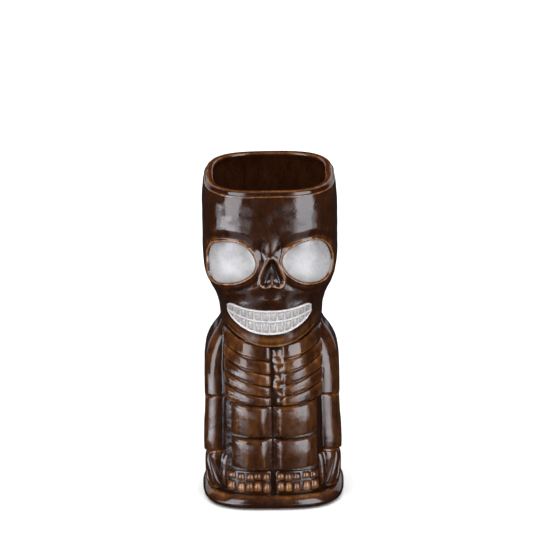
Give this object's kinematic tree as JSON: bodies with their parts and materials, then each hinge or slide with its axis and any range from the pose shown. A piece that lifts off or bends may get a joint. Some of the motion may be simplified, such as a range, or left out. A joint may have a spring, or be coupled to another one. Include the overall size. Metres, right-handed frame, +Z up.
{
  "type": "tiki mug",
  "caption": "Tall ceramic tiki mug shaped as a skeleton: hollow skull with white eyes and grin over a ribbed torso, folded limbs and a rolled plinth.",
  "frame": {"origin": "middle of the foot ring's underside, on the surface that the mug stands on", "axes": "+Z up out of the mug's mouth; the face looks along -Y; +X is the right-hand side as seen by somebody who faces the mug"},
  "size_m": [0.0762, 0.0792, 0.18],
  "materials": {
    "brown_glaze": "glossy dark brown glaze that breaks to amber on raised edges",
    "white_glaze": "glossy opaque white glaze",
    "tooth_glaze": "glossy white glaze with a thin brown stain in the hollows",
    "bare_clay": "matte fired clay, wiped clean of glaze"
  },
  "bodies": {
    "root": {"foot_ring": "bare_clay", "left_back_ribs": "brown_glaze", "left_calf": "brown_glaze", "left_eye": "white_glaze", "left_fingers": "brown_glaze", "left_foot": "brown_glaze", "left_forearm": "brown_glaze", "left_hamstring": "brown_glaze", "left_hand": "brown_glaze", "left_rib_1": "brown_glaze", "left_rib_2": "brown_glaze", "left_rib_3": "brown_glaze", "left_rib_4": "brown_glaze", "left_rib_5": "brown_glaze", "left_shin": "brown_glaze", "left_shoulder_blade": "brown_glaze", "left_thigh": "brown_glaze", "left_toes": "brown_glaze", "left_upper_arm": "brown_glaze", "lower_jaw": "brown_glaze", "lower_teeth": "tooth_glaze", "mouth_frame": "white_glaze", "nose_rim": "brown_glaze", "nose_septum": "brown_glaze", "plinth": "brown_glaze", "right_back_ribs": "brown_glaze", "right_calf": "brown_glaze", "right_eye": "white_glaze", "right_fingers": "brown_glaze", "right_foot": "brown_glaze", "right_forearm": "brown_glaze", "right_hamstring": "brown_glaze", "right_hand": "brown_glaze", "right_rib_1": "brown_glaze", "right_rib_2": "brown_glaze", "right_rib_3": "brown_glaze", "right_rib_4": "brown_glaze", "right_rib_5": "brown_glaze", "right_shin": "brown_glaze", "right_shoulder_blade": "brown_glaze", "right_thigh": "brown_glaze", "right_toes": "brown_glaze", "right_upper_arm": "brown_glaze", "skull": "brown_glaze", "spine": "brown_glaze", "sternum": "brown_glaze", "torso": "brown_glaze", "upper_jaw": "brown_glaze", "upper_teeth": "tooth_glaze"}
  },
  "joints": []
}
